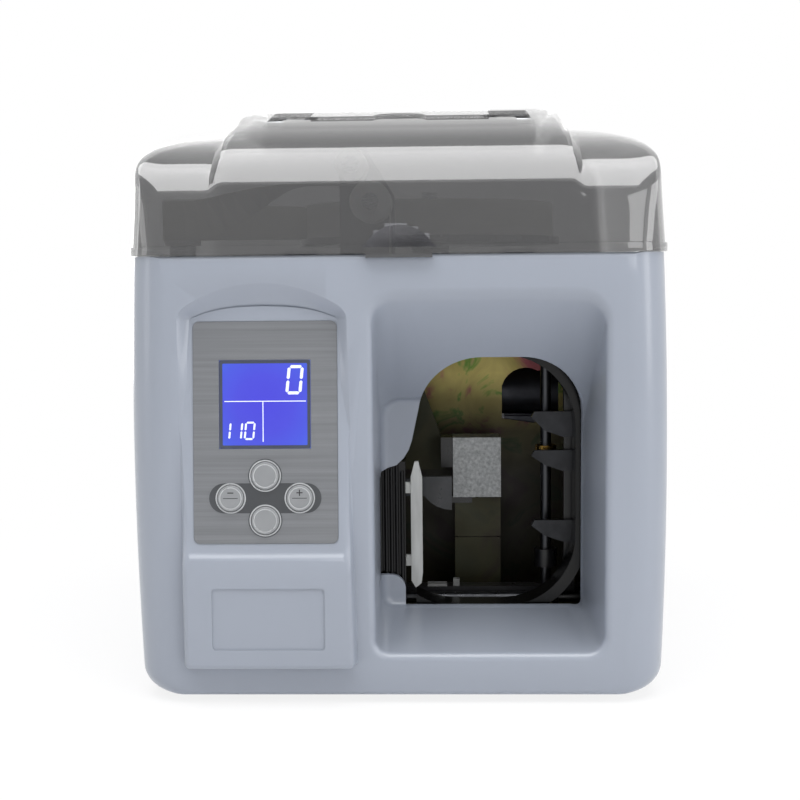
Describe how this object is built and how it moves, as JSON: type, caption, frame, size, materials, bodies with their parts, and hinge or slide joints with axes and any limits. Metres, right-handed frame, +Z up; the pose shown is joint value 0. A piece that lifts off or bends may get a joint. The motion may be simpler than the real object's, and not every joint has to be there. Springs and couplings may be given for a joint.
{
  "type": "banknote strapping machine",
  "caption": "Desktop machine that straps banknote bundles with paper tape: moulded body, note recess, sloped key panel, and a smoked hinged lid over the tape reel.",
  "frame": {"origin": "middle of the bounding box, on the surface that the feet stand on", "axes": "+X to the right as the operator faces the machine, +Y towards its rear, +Z up"},
  "size_m": [0.268, 0.29, 0.3055],
  "materials": {
    "cover": "fine satin moulded ABS",
    "smoked_lid": "clear smoked polycarbonate",
    "grip": "satin",
    "panel": "brushed, printed pill behind the keys",
    "window": "polished",
    "display": "backlit liquid crystal",
    "board": "solder mask",
    "key": "satin silver",
    "black_plastic": "gloss",
    "dark_plastic": "matt",
    "deck": "satin moulded",
    "rubber": "matt",
    "rocker": "gloss",
    "zinc_plate": "yellow iridescent zinc chromate",
    "steel": "turned",
    "dark_steel": "blackened",
    "cast_block": "speckled cast",
    "bright_strip": "bright",
    "brass": "turned",
    "nylon": "translucent natural nylon",
    "paper": "plain paper tape",
    "transformer": "laminated core with wound coil"
  },
  "bodies": {
    "machine": {"front_cover": "cover", "rear_cover": "cover", "base_plate": "zinc_plate", "feet": "rubber", "top_deck": "deck", "hinge_brackets": "dark_steel", "hinge_pins": "steel", "control_panel": "panel", "display_window": "window", "display_module": "display", "panel_board": "board", "power_inlet": "black_plastic", "switch_body": "black_plastic", "transformer": "transformer", "control_board": "board", "deck_spindles": "steel", "tape_web": "paper", "roller_bracket": "dark_steel", "roller_screws": "steel", "feed_bracket": "zinc_plate", "gear_motors": "steel", "drive_motor": "dark_steel", "mech_back_plate": "zinc_plate", "side_plates": "zinc_plate", "gusset_plate": "zinc_plate", "cross_rails": "dark_plastic", "rail_pad": "nylon", "stop_block": "cast_block", "stop_pad": "dark_plastic", "stop_bracket": "zinc_plate", "left_track": "black_plastic", "tape_track": "black_plastic", "press_plate": "bright_strip", "guide_rods": "steel", "brass_bush": "brass", "adjust_knob": "dark_plastic", "tape_fin": "nylon", "head_guide": "zinc_plate", "head_solenoid": "dark_steel", "cover_screws": "steel"},
    "lid": {"lid": "smoked_lid"},
    "grip": {"grip_handle": "grip", "grip_pins": "steel"},
    "key_top": {"key_top": "key"},
    "key_bottom": {"key_bottom": "key"},
    "key_left": {"key_left": "key"},
    "key_right": {"key_right": "key"},
    "reel": {"turntable": "dark_plastic", "tape_roll": "paper"},
    "post": {"guide_post": "nylon"},
    "guide_roller": {"guide_roller": "nylon"},
    "keeper_roller": {"keeper_roller": "nylon"},
    "feed_roller": {"feed_roller": "rubber"},
    "pinch_roller": {"pinch_roller": "rubber"},
    "clamp": {"clamp_carriage": "dark_plastic", "jaw_fingers": "dark_plastic"},
    "pinion": {"clamp_pinion": "steel"},
    "seal_head": {"seal_head": "steel", "cutter_blade": "steel"},
    "rocker": {"power_rocker": "rocker"}
  },
  "joints": [
    {"name": "lid_hinge", "type": "hinge", "parent": "machine", "child": "lid", "pos_m": [0, 0.1415, 0.226], "axis": [-1, 0, 0], "range_deg": [0, 85]},
    {"name": "grip_hinge", "type": "hinge", "parent": "lid", "child": "grip", "pos_m": [0, -0.04181, 0.29508], "axis": [-1, 0, 0], "range_deg": [0, 90]},
    {"name": "key_top_press", "type": "slide", "parent": "machine", "child": "key_top", "axis": [0, 0.9954, -0.0958], "range_m": [0, 0.0008], "stiffness_N_per_m": 900},
    {"name": "key_bottom_press", "type": "slide", "parent": "machine", "child": "key_bottom", "axis": [0, 0.9954, -0.0958], "range_m": [0, 0.0008], "stiffness_N_per_m": 900},
    {"name": "key_left_press", "type": "slide", "parent": "machine", "child": "key_left", "axis": [0, 0.9954, -0.0958], "range_m": [0, 0.0008], "stiffness_N_per_m": 900},
    {"name": "key_right_press", "type": "slide", "parent": "machine", "child": "key_right", "axis": [0, 0.9954, -0.0958], "range_m": [0, 0.0008], "stiffness_N_per_m": 900},
    {"name": "reel_spin", "type": "hinge", "parent": "machine", "child": "reel", "pos_m": [0.015, 0.04, 0.24], "axis": [0, 0, 1], "continuous": true},
    {"name": "post_spin", "type": "hinge", "parent": "machine", "child": "post", "pos_m": [-0.114, -0.08, 0.24], "axis": [0, 0, 1], "continuous": true},
    {"name": "guide_spin", "type": "hinge", "parent": "machine", "child": "guide_roller", "pos_m": [-0.0154, -0.062, 0.2508], "axis": [0, 1, 0], "continuous": true},
    {"name": "keeper_spin", "type": "hinge", "parent": "machine", "child": "keeper_roller", "pos_m": [-0.0255, -0.062, 0.27], "axis": [0, 1, 0], "continuous": true},
    {"name": "feed_spin", "type": "hinge", "parent": "machine", "child": "feed_roller", "pos_m": [0.0036, -0.062, 0.202], "axis": [0, 1, 0], "continuous": true},
    {"name": "pinch_spin", "type": "hinge", "parent": "machine", "child": "pinch_roller", "pos_m": [-0.013, -0.062, 0.202], "axis": [0, 1, 0], "continuous": true},
    {"name": "clamp_slide", "type": "slide", "parent": "machine", "child": "clamp", "axis": [-1, 0, 0], "range_m": [0, 0.036]},
    {"name": "pinion_spin", "type": "hinge", "parent": "machine", "child": "pinion", "pos_m": [0.07, -0.04, 0.2025], "axis": [0, 1, 0], "range_deg": [0, 260]},
    {"name": "seal_press", "type": "slide", "parent": "machine", "child": "seal_head", "axis": [1, 0, 0], "range_m": [0, 0.004], "stiffness_N_per_m": 150},
    {"name": "power_rock", "type": "hinge", "parent": "machine", "child": "rocker", "pos_m": [0.04, 0.136, 0.044], "axis": [1, 0, 0], "range_deg": [0, 14]}
  ],
  "couplings": [
    {"joint": "post_spin", "follows": "reel_spin", "ratio": 7.8947},
    {"joint": "guide_spin", "follows": "reel_spin", "ratio": 7.8947},
    {"joint": "keeper_spin", "follows": "reel_spin", "ratio": -8.7209},
    {"joint": "feed_spin", "follows": "reel_spin", "ratio": -8.3333},
    {"joint": "pinch_spin", "follows": "reel_spin", "ratio": 10.714},
    {"joint": "pinion_spin", "follows": "clamp_slide", "rad_per_m": 125}
  ]
}
